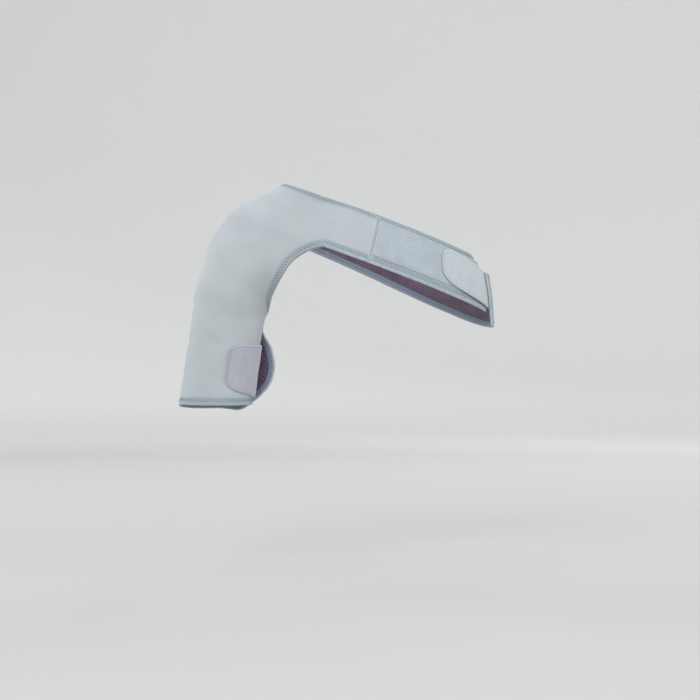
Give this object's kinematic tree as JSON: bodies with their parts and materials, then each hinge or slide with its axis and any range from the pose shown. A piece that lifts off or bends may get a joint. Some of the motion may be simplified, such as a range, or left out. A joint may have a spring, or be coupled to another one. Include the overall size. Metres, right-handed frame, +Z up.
{
  "type": "shoulder brace",
  "caption": "Neoprene shoulder support in its worn form: shoulder cap and arm sleeve, chest strap loop, plush patch and hook tabs.",
  "frame": {"origin": "inner face of the sleeve at the top of the right shoulder, where the brace hangs", "axes": "+Z up, +X towards the wearer's left, -Y to the wearer's front"},
  "size_m": [0.4038, 0.1938, 0.2794],
  "materials": {
    "sleeve_neoprene": "light blue-grey knit faced neoprene, dark plum lining",
    "strap_neoprene": "light blue-grey knit faced neoprene, dark plum lining",
    "loop_plush": "short brushed loop pile",
    "hook_tab": "matt tab cloth"
  },
  "bodies": {
    "root": {"shoulder_sleeve": "sleeve_neoprene", "front_strap": "strap_neoprene", "back_strap": "strap_neoprene", "loop_patch": "loop_plush", "strap_tab": "hook_tab", "arm_tab": "hook_tab"}
  },
  "joints": []
}
